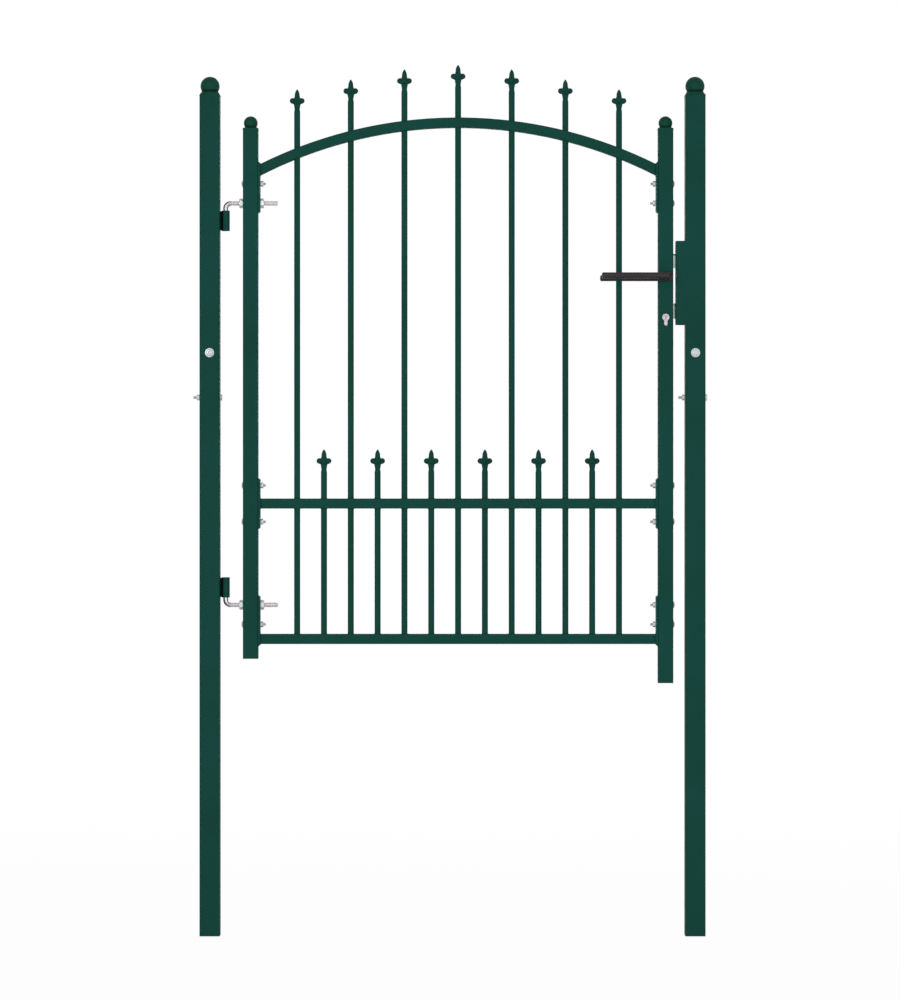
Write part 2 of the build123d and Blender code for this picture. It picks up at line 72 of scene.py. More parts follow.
# %% A wire between shader nodes
class Wire:
    """An output of a shader node. Sums and products of wires become Math nodes."""

    def __init__(self, tree, socket=None):
        self.tree = tree
        self.socket = socket

    def node(self, kind, settings=None, sockets=None, output=0):
        """Add a node: settings first, then sockets as numbers, colours or wires."""
        made = self.tree.nodes.new(kind)
        for name, value in (settings or {}).items():
            setattr(made, name, value)
        for name, value in (sockets or {}).items():
            if isinstance(value, Wire):
                self.tree.links.new(value.socket, made.inputs[name])
            else:
                made.inputs[name].default_value = value
        return Wire(self.tree, made.outputs[output] if made.outputs else None)

    def math(self, operation, first, second):
        return self.node("ShaderNodeMath", {"operation": operation}, {0: first, 1: second})

    def __add__(self, other):
        return self.math("ADD", self, other)

    def __radd__(self, other):
        return self.math("ADD", other, self)

    def __sub__(self, other):
        return self.math("SUBTRACT", self, other)

    def __rsub__(self, other):
        return self.math("SUBTRACT", other, self)

    def __mul__(self, other):
        return self.math("MULTIPLY", self, other)

    def __rmul__(self, other):
        return self.math("MULTIPLY", other, self)

    def stretch(self, low, high):
        """The wire's values from low to high, spread over 0 to 1 and clamped there."""
        sockets = {"Value": self, "From Min": low, "From Max": high}
        return self.node("ShaderNodeMapRange", {"clamp": True}, sockets)

    def noise(self, size, detail=2.0):
        """Soft random values over this position, with lumps about size metres across."""
        sockets = {"Vector": self, "Scale": 1 / size, "Detail": detail}
        return self.node("ShaderNodeTexNoise", None, sockets)

    def patches(self, size, detail=2.0):
        """Noise whose middle values are spread out, so that its patches stand apart."""
        return self.noise(size, detail).stretch(0.3, 0.7)

    def along(self, axis, start, end):
        """How far this position has come along an axis: 0 at start, 1 at end."""
        part = self.node("ShaderNodeSeparateXYZ", None, {"Vector": self}, axis)
        return part.stretch(start, end)

    def blend(self, first, second):
        """A colour between two others, chosen by this wire."""
        # Mix lists its sockets by kind: 6 and 7 take the colours, and output 2 gives one
        sockets = {0: self, 6: first, 7: second}
        return self.node("ShaderNodeMix", {"data_type": "RGBA"}, sockets, 2)

    def bump(self, height, strength):
        """A normal that tilts as if this wire raised the surface by up to height metres."""
        sockets = {"Height": self, "Distance": height, "Strength": strength}
        return self.node("ShaderNodeBump", None, sockets)


print("a wire can", [name for name in vars(Wire) if not name.startswith("_")])

# %% [markdown]
# ## Colours, and the first and last node
# Colours are written from 0 to 255, as a screen shows them. A shader counts light, so they are
# made linear before use. Every finish starts from object coordinates, which stay with a piece
# when it moves, and ends in one Principled shader.

# %% Colours, first and last nodes
def paint(red, green, blue):
    """A colour as a picture shows it, 0 to 255, in the linear values that shaders use."""
    shown = Color([value / 255 for value in (red, green, blue)])
    return (*shown.from_srgb_to_scene_linear(), 1.0)


def start_finish(name):
    """A new material, and its object coordinates as a wire to start from."""
    material = bpy.data.materials.new(name)
    material.use_nodes = True
    material.node_tree.nodes.clear()
    place = Wire(material.node_tree).node("ShaderNodeTexCoord", output="Object")
    return material, place


def close_finish(place, **sockets):
    """Feed a Principled shader, whose socket names are written with _ for spaces."""
    named = {name.replace("_", " "): value for name, value in sockets.items()}
    shader = place.node("ShaderNodeBsdfPrincipled", None, named)
    place.node("ShaderNodeOutputMaterial", None, {"Surface": shader})


print("a mid green in shader values:", [round(v, 4) for v in paint(23, 68, 58)])

# %% [markdown]
# ## Powder coat
# Powder is blown on dry and melts in an oven, so the skin has no brush marks. It has an even
# green, a satin gloss and a faint orange peel of lumps two or three millimetres apart. The peel
# is a low bump. A slow noise shifts the tone a little along each tube, as film thickness does,
# and a fine one is the grain of the powder. A weak specular keeps the green deep. The tab
# between a hinge barrel and its post lies in a narrow recess, and there the green is painted
# near black as shade.

# %% Powder coat
def powder_coat(name, painted_cleft_shade=None):
    """A green coat, with painted shade in an optional band (axis, start, end): along it the green
    goes near black.
    """
    material, place = start_finish(name)
    cloud = place.patches(size=160 * MM)
    grain = place.noise(size=0.8 * MM, detail=1.0)
    peel = place.noise(size=2.6 * MM, detail=1.0)
    green = (0.6 * cloud + 0.4 * grain).blend(paint(5, 57, 47), paint(15, 69, 61))
    # Painted shade: along the band the green is darkened to near black.
    if painted_cleft_shade:
        green = place.along(*painted_cleft_shade).blend(green, paint(1, 14, 10))
    close_finish(
        place,
        Base_Color=green,
        Roughness=0.56 + 0.12 * grain + 0.06 * cloud,
        Normal=peel.bump(height=0.09 * MM, strength=0.8),
        Specular_IOR_Level=0.08,
    )
    return material


green_coat = powder_coat("gate_green_powder_coat")
barrel_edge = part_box("upper_hinge_barrel")[0].x
# The tab beside each barrel and the barrel's edge get painted shade.
tab_painted_cleft_shade = ("X", barrel_edge + 7 * MM, barrel_edge + 5 * MM)
barrel_shaded_coat = powder_coat("gate_green_barrel_coat", tab_painted_cleft_shade)
print("made", green_coat.name, "and", barrel_shaded_coat.name)

# %% [markdown]
# ## Moulded caps
# The ball caps are moulded in the same green, with a fine sparkle from the mould in place of the
# peel. The groove under each ball is darkened with painted shade. Two ramps along Z, one that
# rises from below and one from above, multiply to a soft band at the height of the neck.

# %% Moulded caps
def moulded_cap(name, neck, depth):
    """A cap's green plastic, with painted shade by a share depth in the groove at its neck."""
    reach, core = 3.6 * MM, 1.6 * MM
    material, place = start_finish(name)
    flow = place.patches(size=35 * MM)
    spark = place.noise(size=0.45 * MM)
    # The two ramps mark the band at the neck where shade is painted.
    under = place.along("Z", neck - reach, neck - core)
    over = place.along("Z", neck + reach, neck + core)
    plastic = flow.blend(paint(6, 59, 45), paint(10, 65, 51))
    close_finish(
        place,
        Base_Color=(depth * under * over).blend(plastic, paint(0, 38, 27)),
        Roughness=0.52 + 0.14 * spark,
        Normal=spark.bump(height=0.02 * MM, strength=0.5),
        Specular_IOR_Level=0.1,
    )
    return material


post_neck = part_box("hinge_post")[1].z + 10 * MM
stile_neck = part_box("hinge_stile")[1].z + 6 * MM
post_plastic = moulded_cap("gate_post_cap_plastic", post_neck, depth=1.0)
stile_plastic = moulded_cap("gate_stile_cap_plastic", stile_neck, depth=0.6)
print("made", post_plastic.name, "and", stile_plastic.name)

# %% [markdown]
# ## Zinc plate
# The bolts and nuts are zinc plated: pale, with a cloudy spangle and a gloss that changes from
# patch to patch. New zinc soon dulls, so only part of its shine is a mirror's. Where a drawn bar
# is left smooth, the plate is greyer and mirrors more, so the dark post shows in its side.

# %% Zinc plate
def zinc_plate(name, dark, light, drawn=None):
    """Zinc with a spangle. Drawn is (axis, start, end): along it the bar is smooth."""
    material, place = start_finish(name)
    spangle = place.patches(size=3.5 * MM, detail=3.0)
    dull = place.noise(size=14 * MM).stretch(0.35, 0.65)
    colour = spangle.blend(dark, light)
    metallic = 0.62 - 0.24 * dull
    roughness = 0.34 + 0.12 * dull + 0.06 * spangle
    if drawn:
        bright = place.along(*drawn)
        colour = bright.blend(colour, paint(160, 156, 158))
        metallic = metallic + 0.36 * bright
        roughness = roughness - 0.16 * bright
    close_finish(
        place,
        Base_Color=colour,
        Metallic=metallic,
        Roughness=roughness,
        Normal=spangle.bump(height=0.02 * MM, strength=0.4),
    )
    return material


zinc = zinc_plate("gate_zinc_plate", paint(178, 186, 186), paint(198, 204, 204))
print("made", zinc.name)

# %% [markdown]
# ## Brushed steel
# The lock's steel is brushed along its length, so its noise is stretched by a Mapping node until
# the lumps become streaks. The latch and the dead bolt are of a paler steel, and the latch has a
# band of painted shade along its top.

# %% Brushed steel
def brushed_steel(name, dark, light, painted_shade=None):
    """Steel brushed along Z, with painted shade in an optional band (axis, start, end)."""
    material, place = start_finish(name)
    streak_scale = (1.0, 1.0, 0.03)
    brushed = place.node("ShaderNodeMapping", None, {"Vector": place, "Scale": streak_scale})
    streak = brushed.noise(size=0.35 * MM, detail=3.0)
    cloud = place.noise(size=20 * MM)
    steel = streak.blend(dark, light)
    # Painted shade: along the band the steel is darkened.
    if painted_shade:
        steel = place.along(*painted_shade).blend(steel, paint(20, 30, 26))
    close_finish(
        place,
        Base_Color=steel,
        Metallic=0.8,
        Roughness=0.28 + 0.14 * streak + 0.05 * cloud,
        Normal=streak.bump(height=0.01 * MM, strength=0.4),
    )
    return material


lock_steel = brushed_steel("gate_brushed_lock_steel", paint(140, 143, 142), paint(182, 185, 183))
latch_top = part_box("latch_bolt")[1].z
# The top of the latch gets a band of painted shade.
painted_shade_rim = ("Z", latch_top - 3 * MM, latch_top - 2.4 * MM)
latch_steel = brushed_steel(
    "gate_latch_steel", paint(148, 164, 156), paint(188, 202, 195), painted_shade_rim,
)
print("made", lock_steel.name, "and", latch_steel.name)

# %% [markdown]
# ## Nickel, lacquer and nylon
# The cylinder is brass under nickel, warm and smooth with a light haze. The handles are cast
# aluminium under a dark satin lacquer. A fine grain breaks up its gloss, and its specular is
# stronger than the powder coat's, so a pale streak runs along each rounded edge. The roses
# behind the handles are black nylon.

# %% Nickel, lacquer and nylon
def bright_nickel():
    material, place = start_finish("gate_bright_nickel")
    haze = place.patches(size=4 * MM, detail=3.0)
    close_finish(
        place,
        Base_Color=haze.blend(paint(162, 158, 161), paint(178, 174, 177)),
        Metallic=0.6,
        Roughness=0.26 + 0.12 * haze,
    )
    return material


def charcoal_lacquer():
    material, place = start_finish("gate_charcoal_lacquer")
    grain = place.noise(size=0.6 * MM)
    cloud = place.patches(size=30 * MM)
    close_finish(
        place,
        Base_Color=cloud.blend(paint(35, 32, 34), paint(42, 39, 41)),
        Roughness=0.44 + 0.14 * grain,
        Normal=grain.bump(height=0.02 * MM, strength=0.5),
        Specular_IOR_Level=0.2,
    )
    return material


def black_nylon():
    material, place = start_finish("gate_black_nylon")
    grain = place.noise(size=1.2 * MM)
    close_finish(
        place,
        Base_Color=grain.blend(paint(18, 19, 19), paint(34, 35, 35)),
        Roughness=0.5 + 0.15 * grain,
        Specular_IOR_Level=0.3,
    )
    return material


nickel = bright_nickel()
charcoal = charcoal_lacquer()
nylon = black_nylon()
print("made", nickel.name, charcoal.name, "and", nylon.name)

# %% [markdown]
# ## Finishes onto the solids
# Each solid arrives with one material, named for its slot in the record. Its shape stays as it
# is, and only the slot's material is exchanged. A few solids have a finish of their own, with
# painted shade.

# %% Dress the solids
finishes = {
    "green_powder_coat": green_coat,
    "green_cap": post_plastic,
    "zinc_plate": zinc,
    "charcoal_lever": charcoal,
    "lock_steel": lock_steel,
    "lock_brass": nickel,
}
special = {
    "upper_hinge_barrel": barrel_shaded_coat,
    "lower_hinge_barrel": barrel_shaded_coat,
    "hinge_stile_cap": stile_plastic,
    "lock_stile_cap": stile_plastic,
    "latch_bolt": latch_steel,
    "dead_bolt": latch_steel,
}
for name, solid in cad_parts.items():
    for used in solid.material_slots:
        used.material = special.get(name, finishes[used.material.name])
print("dressed", len(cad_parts), "solids, of which", len(special), "specially")

# %% [markdown]
# ## A lathe
# Most of the hardware is turned, so the first tool spins a profile about an axis. A part is made
# once, at the origin with +Z as its axis, and is kept to be copied. Spin leaves double points
# along its seam, and it can leave a shape inside out, so a kept part is merged and its faces
# are turned outwards.

# %% Lathe and kept parts
MERGE = 0.002 * MM


def turned(bm, profile, segments=40):
    """Spin a chain of (radius, height) points about +Z."""
    chain = [bm.verts.new((radius, 0, height)) for radius, height in profile]
    edges = [bm.edges.new(pair) for pair in zip(chain, chain[1:])]
    bmesh.ops.spin(
        bm, geom=chain + edges, cent=(0, 0, 0), axis=(0, 0, 1), dvec=(0, 0, 0),
        angle=2 * pi, steps=segments, use_merge=True, use_duplicate=False,
    )
    bmesh.ops.remove_doubles(bm, verts=bm.verts[:], dist=MERGE)


def keep_part(bm, name):
    """Close a part's mesh, turn its faces outwards and keep it for copying."""
    bmesh.ops.remove_doubles(bm, verts=bm.verts[:], dist=MERGE)
    bmesh.ops.recalc_face_normals(bm, faces=bm.faces[:])
    part = bpy.data.meshes.new(name)
    bm.to_mesh(part)
    bm.free()
    return part


def turned_part(name, profile, segments=40):
    """A kept part that is turned and needs nothing more."""
    bm = bmesh.new()
    turned(bm, profile, segments)
    return keep_part(bm, name)


print("merge distance", MERGE, "m")

# %% [markdown]
# ## A saw, a file and a drawing bench
# The other tools cut with a plane, round off edges, and draw a loop of edges on into a wall.
# Each is one operator of bmesh with the settings that this gate needs.

# %% Cuts, soft edges and drawn loops
EDGE, VERT = bmesh.types.BMEdge, bmesh.types.BMVert


def only(kind, items):
    """The edges or the vertices among mixed geometry."""
    return [item for item in items if isinstance(item, kind)]


def verts_of(edges):
    return list({v for edge in edges for v in edge.verts})


def all_of(bm):
    return bm.verts[:] + bm.edges[:] + bm.faces[:]


def slice_off(bm, point, direction):
    """Cut away what lies beyond a plane, and return the edges of the cut."""
    cut = bmesh.ops.bisect_plane(
        bm, geom=all_of(bm), dist=MERGE / 10, plane_co=point, plane_no=direction,
        clear_outer=True,
    )
    return only(EDGE, cut["geom_cut"])


def soften(bm, geom, offset, segments, affect="EDGES"):
    """Round off edges, or the corners of a flat outline."""
    bmesh.ops.bevel(
        bm, geom=geom, offset=offset, segments=segments, profile=0.5, affect=affect, material=-1,
    )


def draw_on(bm, edges, move):
    """Extrude a loop of edges by a move and return the new loop."""
    drawn = bmesh.ops.extrude_edge_only(bm, edges=edges)["geom"]
    fresh = set(only(VERT, drawn))
    bmesh.ops.translate(bm, verts=list(fresh), vec=move)
    return [edge for edge in only(EDGE, drawn) if set(edge.verts) <= fresh]


def widen(bm, edges, share):
    """Scale a loop of edges about the axis +Z."""
    bmesh.ops.scale(bm, verts=verts_of(edges), vec=(share, share, 1))


print("a cut takes points within", MERGE / 10, "m as on its plane")

# %% [markdown]
# ## From parts to pieces
# A piece is made of copies of parts, each laid in its place by a matrix. Its object stays at the
# origin with its place in its mesh, as the solids' objects do. A mirrored copy is inside out, so
# the faces are turned outwards once more. The shading is smooth but for sharp edges.

# %% Copies and finished pieces
SHARP = radians(32)


def axis_to(direction, origin):
    """The matrix that lays a part's +Z along a direction from an origin."""
    turn = Vector(direction).to_track_quat("Z", "Y").to_matrix().to_4x4()
    return Matrix.Translation(origin) @ turn


def show_piece(name, copies, finish, body):
    """Make a piece of (part, matrix) copies, riding on a body."""
    bm = bmesh.new()
    for part, place in copies:
        start = len(bm.verts)
        bm.from_mesh(part)
        bm.verts.ensure_lookup_table()
        bmesh.ops.transform(bm, matrix=place, verts=bm.verts[start:])
    bmesh.ops.recalc_face_normals(bm, faces=bm.faces[:])
    mesh = bpy.data.meshes.new(name)
    bm.to_mesh(mesh)
    bm.free()
    mesh.shade_smooth()
    mesh.set_sharp_from_angle(angle=SHARP)
    mesh.materials.append(finish)
    piece = bpy.data.objects.new(name, mesh)
    scene.collection.objects.link(piece)
    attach(piece, body)
    return piece


print("edges are sharp past", round(SHARP, 3), "radians")

# %% [markdown]
# ## Bolt heads
# Six-millimetre coach bolts hold the end plates to the stiles. Their head is a slice of a ball,
# so it is cut from a sphere with one plane. The bolts through the posts have button heads on a
# flange. Such a head is turned with an open crown, which is then bridged to a hexagon that sinks
# in as the socket. The hexagon gets as many points as the crown, so the bridge runs evenly.

# %% Bolt heads
def domed_head(radius, height):
    """A dome that rises towards -Z from a seat on z = 0."""
    ball = (radius ** 2 + height ** 2) / (2 * height)
    bm = bmesh.new()
    bmesh.ops.create_uvsphere(bm, u_segments=40, v_segments=48, radius=ball)
    bmesh.ops.edgeloop_fill(bm, edges=slice_off(bm, (0, 0, height - ball), (0, 0, 1)))
    bmesh.ops.translate(bm, verts=bm.verts[:], vec=(0, 0, ball - height))
    rim = [edge for edge in bm.edges if all(abs(v.co.z) < MERGE for v in edge.verts)]
    soften(bm, rim, offset=0.35 * MM, segments=2)
    return keep_part(bm, "domed_head")


def flanged_button_head(flange, button, height, across):
    """A button head on a thin flange, with a hexagon socket sunk in its crown."""
    crown_round = 48
    lip = 1.3 * MM
    sink = 0.35 * MM
    bm = bmesh.new()
    turned(bm, [
        (0.64 * across, -height), (0.66 * button, -0.97 * height),
        (0.86 * button, -0.85 * height), (0.97 * button, -0.62 * height), (button, -lip),
        (flange - sink, -0.9 * lip), (flange, -0.6 * lip), (flange, 0), (0, 0),
    ], segments=crown_round)
    crown = [edge for edge in bm.edges if edge.is_boundary]
    bmesh.ops.create_circle(bm, segments=6, radius=across / 2 / cos(pi / 6))
    hexagon = [edge for edge in bm.edges if edge.is_wire]
    bmesh.ops.subdivide_edges(bm, edges=hexagon, cuts=crown_round // 6 - 1)
    mouth = [edge for edge in bm.edges if edge.is_wire]
    bmesh.ops.translate(bm, verts=verts_of(mouth), vec=(0, 0, sink - height))
    bmesh.ops.bridge_loops(bm, edges=crown + mouth)
    bmesh.ops.edgeloop_fill(bm, edges=draw_on(bm, mouth, (0, 0, 0.6 * height)))
    return keep_part(bm, "flanged_button_head")


leaf_head = domed_head(radius=8.25 * MM, height=3.4 * MM)
post_head = flanged_button_head(
    flange=9.0 * MM, button=7.0 * MM, height=4.2 * MM, across=5.0 * MM,
)
print("faces of heads:", len(leaf_head.polygons), len(post_head.polygons))

# %% [markdown]
# ## Washer and nut
# A washer is a plain turned ring. A nut begins as a turned ring with its corners chamfered, and
# six planes then mill its flats, which gives the curved edges of a real nut. A six-sided prism
# would lack them.

# %% Washer and nut
def flat_washer(bore, radius, thickness):
    edge = 0.2 * MM
    return turned_part("flat_washer", [
        (bore, 0), (radius, 0), (radius, thickness - edge), (radius - edge, thickness),
        (bore, thickness), (bore, 0),
    ])


def hexagon_nut(bore, across, thickness):
    flat = across / 2
    corner = flat / cos(pi / 6)
    seat = 0.96 * flat
    rise = (corner - seat) * tan(pi / 6)
    sink = 0.12 * flat
    bm = bmesh.new()
    turned(bm, [
        (bore, sink), (bore + sink, 0), (seat, 0), (corner, rise), (corner, thickness - rise),
        (seat, thickness), (bore + sink, thickness), (bore, thickness - sink), (bore, sink),
    ], segments=48)
    for side in range(6):
        outward = Vector((1, 0, 0))
        outward.rotate(Matrix.Rotation(side * pi / 3, 3, "Z"))
        bmesh.ops.edgeloop_fill(bm, edges=slice_off(bm, flat * outward, outward))
    return keep_part(bm, "hexagon_nut")


WASHER_THICKNESS = 1.2 * MM
bolt_washer = flat_washer(bore=3.2 * MM, radius=6.0 * MM, thickness=WASHER_THICKNESS)
bolt_nut = hexagon_nut(bore=2.9 * MM, across=10.0 * MM, thickness=5.0 * MM)
print("faces of washer and nut:", len(bolt_washer.polygons), len(bolt_nut.polygons))

# %% [markdown]
# ## Screw threads
# A thread is one tooth spun up a helix: each step of the spin also climbs by a share of the
# pitch. The helix is made a turn too long at each end, two planes cut it flat, and the free end
# is drawn in to a chamfer.

# %% Screw threads
def screw_thread(radius, pitch, length, steps):
    """A closed threaded rod along +Z, with a chamfered end."""
    root = radius - 0.61 * pitch
    tooth = [(root, 0.0), (root, 0.12), (radius, 0.48), (radius, 0.62), (root, 1.0)]
    turns = ceil(length / pitch) + 2
    chamfer = 0.6 * pitch
    narrow = (root - 0.2 * pitch) / radius
    bm = bmesh.new()
    chain = [bm.verts.new((x, 0, share * pitch)) for x, share in tooth]
    edges = [bm.edges.new(pair) for pair in zip(chain, chain[1:])]
    bmesh.ops.spin(
        bm, geom=chain + edges, cent=(0, 0, 0), axis=(0, 0, 1), dvec=(0, 0, pitch / steps),
        angle=2 * pi * turns, steps=steps * turns, use_merge=False, use_duplicate=False,
    )
    bmesh.ops.remove_doubles(bm, verts=bm.verts[:], dist=MERGE)
    bmesh.ops.translate(bm, verts=bm.verts[:], vec=(0, 0, -pitch))
    bmesh.ops.edgeloop_fill(bm, edges=slice_off(bm, (0, 0, 0), (0, 0, -1)))
    mouth = slice_off(bm, (0, 0, length - chamfer), (0, 0, 1))
    end = draw_on(bm, mouth, (0, 0, chamfer))
    widen(bm, end, narrow)
    bmesh.ops.edgeloop_fill(bm, edges=end)
    return keep_part(bm, "screw_thread")


BOLT_RADIUS = 3.0 * MM
BOLT_PITCH = 1.0 * MM
leaf_tip = screw_thread(BOLT_RADIUS, BOLT_PITCH, length=11.0 * MM, steps=24)
post_tip = screw_thread(BOLT_RADIUS, BOLT_PITCH, length=13.0 * MM, steps=24)
print("thread faces:", len(leaf_tip.polygons), len(post_tip.polygons))

# %% [markdown]
# ## A whole bolt
# A bolt is a head, a shank, a washer, a nut and a threaded tip on one line. So it needs only its
# seat, its direction and its grip, and each of its parts is copied some way along that line.

# %% A whole bolt
bolt_kinds = {"leaf": (leaf_head, leaf_tip), "posts": (post_head, post_tip)}


def coach_bolt(name, seat, direction, grip, body):
    """A bolt whose head bears on seat and whose nut bears grip metres along direction."""
    head, tip = bolt_kinds[body]
    under_head = 0.5 * MM
    shank = turned_part("bolt_shank", [
        (0, -under_head), (BOLT_RADIUS, -under_head), (BOLT_RADIUS, grip), (0, grip),
    ], segments=24)
    stations = [
        (head, 0), (shank, 0), (bolt_washer, grip), (bolt_nut, grip + WASHER_THICKNESS),
        (tip, grip),
    ]
    copies = [(part, axis_to(direction, seat + way * direction)) for part, way in stations]
    return show_piece(name, copies, zinc, body)


print("bolts ready for", list(bolt_kinds))

# %% [markdown]
# ## Bolts through the stiles
# Every end plate is held by two bolts, whose nuts bear on the plate. Where a hinge rod goes
# through a plate, it takes the place of one bolt. The heights are set from the plates' edges,
# so the bolts stay on their plates if the solids change.

# %% Bolts through the stiles
bolt_edge = 18.5 * MM
bolt_spacing = 38.5 * MM
mid_offset = 36.0 * MM
upper_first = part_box("upper_hinge_plate")[0].z + bolt_edge
lower_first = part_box("lower_hinge_plate")[1].z - bolt_edge
mid_height = middle_of("mid_hinge_plate").z
plate_rows = {
    "upper": (upper_first, upper_first + bolt_spacing),
    "mid": (mid_height - mid_offset, mid_height + mid_offset),
    "lower": (lower_first, lower_first - bolt_spacing),
}
stile_bolts = []
for stile, side in (("hinge", 1), ("lock", -1)):
    inward = Vector((side, 0, 0))
    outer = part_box(f"{stile}_stile")[0 if side > 0 else 1].x
    for row, heights in plate_rows.items():
        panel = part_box(f"{row}_{stile}_plate")[1 if side > 0 else 0].x
        for number, height in enumerate(heights, 1):
            if stile == "hinge" and row != "mid" and number == 1:
                continue
            name = f"{row}_{stile}_coach_bolt_{number}"
            seat = Vector((outer, 0, height))
            stile_bolts.append(coach_bolt(name, seat, inward, abs(panel - outer), "leaf"))
print("bolts through the stiles:", len(stile_bolts))

# %% [markdown]
# ## Bolts through the posts
# Each post has one bolt from front to back and, lower down, one from side to side, which can take
# the fence panels beside the gate. They end in a washer and nut on the far face.

# %% Bolts through the posts
post_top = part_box("hinge_post")[1].z
front_height = post_top - 508 * MM
side_height = post_top - 596 * MM
for post in ("hinge_post", "latch_post"):
    low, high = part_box(post)
    front_seat = Vector((middle_of(post).x, low.y, front_height))
    side_seat = Vector((high.x, 0, side_height))
    width = high.x - low.x
    coach_bolt(f"{post}_front_bolt", front_seat, Vector((0, 1, 0)), width, "posts")
    coach_bolt(f"{post}_side_bolt", side_seat, Vector((-1, 0, 0)), width, "posts")
print("post bolts at heights", round(front_height, 3), "and", round(side_height, 3))

# %% [markdown]
# ## Hinge rods
# Each hinge turns on a ten-millimetre rod bent to an L. Its leg is smooth and sits in a barrel. The
# upper leg points down and the lower one up, so the leaf can't be lifted off. The long arm is
# threaded from the bend to the end, so that two nuts can set the gap. The rod is a circle that is
# drawn straight, spun a quarter turn round the bend and drawn on. The thread is a second part.
# The piece stands for the plain solid and keeps to its place.

# %% Leg and bend of a hinge rod
ROD_RADIUS = 5.0 * MM
ROD_BEND = 10.0 * MM
OVERLAP = 1.0 * MM
pin_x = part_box("upper_hinge_bolt")[0].x + ROD_RADIUS
bend_end = pin_x + ROD_BEND
thread_start = bend_end + OVERLAP


def smooth_leg(leg_end, arm, turn):
    """Leg and bend of a rod; turn is -1 where the leg points down and +1 where it points up."""
    bend_z = arm + turn * ROD_BEND
    bm = bmesh.new()
    bmesh.ops.create_circle(bm, segments=32, radius=ROD_RADIUS)
    bmesh.ops.translate(bm, verts=bm.verts[:], vec=(pin_x, 0, leg_end))
    foot = bm.edges[:]
    loop = draw_on(bm, foot, (0, 0, bend_z - leg_end))
    bent = bmesh.ops.spin(
        bm, geom=loop + verts_of(loop), cent=(bend_end, 0, bend_z), axis=(0, 1, 0),
        dvec=(0, 0, 0), angle=-turn * pi / 2, steps=14, use_merge=False, use_duplicate=False,
    )["geom_last"]
    mouth = draw_on(bm, only(EDGE, bent), (thread_start - bend_end, 0, 0))
    for end in (foot, mouth):
        bmesh.ops.edgeloop_fill(bm, edges=end)
    soften(bm, foot + mouth, offset=0.8 * MM, segments=2)
    return keep_part(bm, "smooth_leg")


print("the thread starts", round((thread_start - pin_x) / MM, 1), "mm from the pin")

# %% Threaded hinge rods
ROD_PITCH = 1.5 * MM
rod_zinc = zinc_plate(
    "gate_zinc_rod", paint(208, 202, 206), paint(228, 222, 226), ("X", thread_start, bend_end),
)
for row, turn in (("upper", -1), ("lower", 1)):
    low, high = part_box(f"{row}_hinge_bolt")
    leg_end, elbow = (low.z, high.z) if turn < 0 else (high.z, low.z)
    arm = elbow + turn * ROD_RADIUS
    thread = screw_thread(ROD_RADIUS, ROD_PITCH, high.x - bend_end, steps=28)
    copies = [
        (smooth_leg(leg_end, arm, turn), Matrix.Identity(4)),
        (thread, axis_to((1, 0, 0), (bend_end, 0, arm))),
    ]
    piece = show_piece(f"{row}_threaded_hinge_rod", copies, rod_zinc, "leaf")
    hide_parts(f"{row}_hinge_bolt")
    print(piece.name, "arm at z", round(arm, 4), "faces", len(piece.data.polygons))

# %% [markdown]
# ## Ripple beads
# The frame is welded before it is painted, so each joint has a bead under the green. A straight
# bead is a circle drawn on in short ripples that swell and shrink, like the rings that a torch
# leaves. Two beads run down the tab of each hinge barrel.

# %% Ripple beads on the barrels
def ripple_bead(length, radius):
    """A painted weld bead along +Z, with rounded ends."""
    ripple = 2.2 * MM
    swell = 1.16
    count = max(2, round(length / ripple))
    step = length / (2 * count)
    bm = bmesh.new()
    bmesh.ops.create_circle(bm, segments=10, radius=radius)
    first = loop = bm.edges[:]
    for half in range(2 * count):
        loop = draw_on(bm, loop, (0, 0, step))
        widen(bm, loop, swell if half % 2 == 0 else 1 / swell)
    for edges, outward in ((first, -1), (loop, 1)):
        tip = draw_on(bm, edges, (0, 0, 0.6 * radius * outward))
        widen(bm, tip, 0.5)
        bmesh.ops.edgeloop_fill(bm, edges=tip)
    return keep_part(bm, "ripple_bead")


weld_inset = 3 * MM
tab_half = 3.0 * MM
sunk = 0.6 * MM
for row in ("upper", "lower"):
    low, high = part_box(f"{row}_hinge_barrel")
    bead = ripple_bead(high.z - low.z - 2 * weld_inset, radius=1.5 * MM)
    corners = [(low.x + sunk, side * (tab_half + sunk), low.z + weld_inset) for side in (-1, 1)]
    copies = [(bead, Matrix.Translation(corner)) for corner in corners]
    # The beads take the barrel's coat, with its painted shade beside the post.
    show_piece(f"{row}_barrel_welds", copies, barrel_shaded_coat, "posts")
print("barrel bead faces:", len(bead.polygons))

# %% [markdown]
# ## Stitches on the strike box
# A thin box would warp under a full weld, so four short stitches hold it to the post. They lie
# in the corner inside its folded edges, near the top and the bottom.

# %% Stitches on the strike box
low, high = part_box("strike_box")
fold = 2.0 * MM
tuck = 0.7 * MM
stitch = 24 * MM
stitch_inset = 2 * MM
bead = ripple_bead(stitch, radius=1.3 * MM)
weld_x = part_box("latch_post")[0].x - tuck
copies = []
for weld_y in (low.y + fold + tuck, high.y - fold - tuck):
    for foot in (low.z + stitch_inset, high.z - stitch - stitch_inset):
        copies.append((bead, Matrix.Translation((weld_x, weld_y, foot))))
show_piece("strike_box_welds", copies, green_coat, "posts")
print("stitch faces:", len(bead.polygons))

# %% [markdown]
# ## Fillets round the pickets
# Where a round picket passes through a rail, a turned fillet fills the corner. One fillet serves
# everywhere: under a rail it is mirrored. The pickets end in the bottom rail, so that one has
# fillets on its top only.

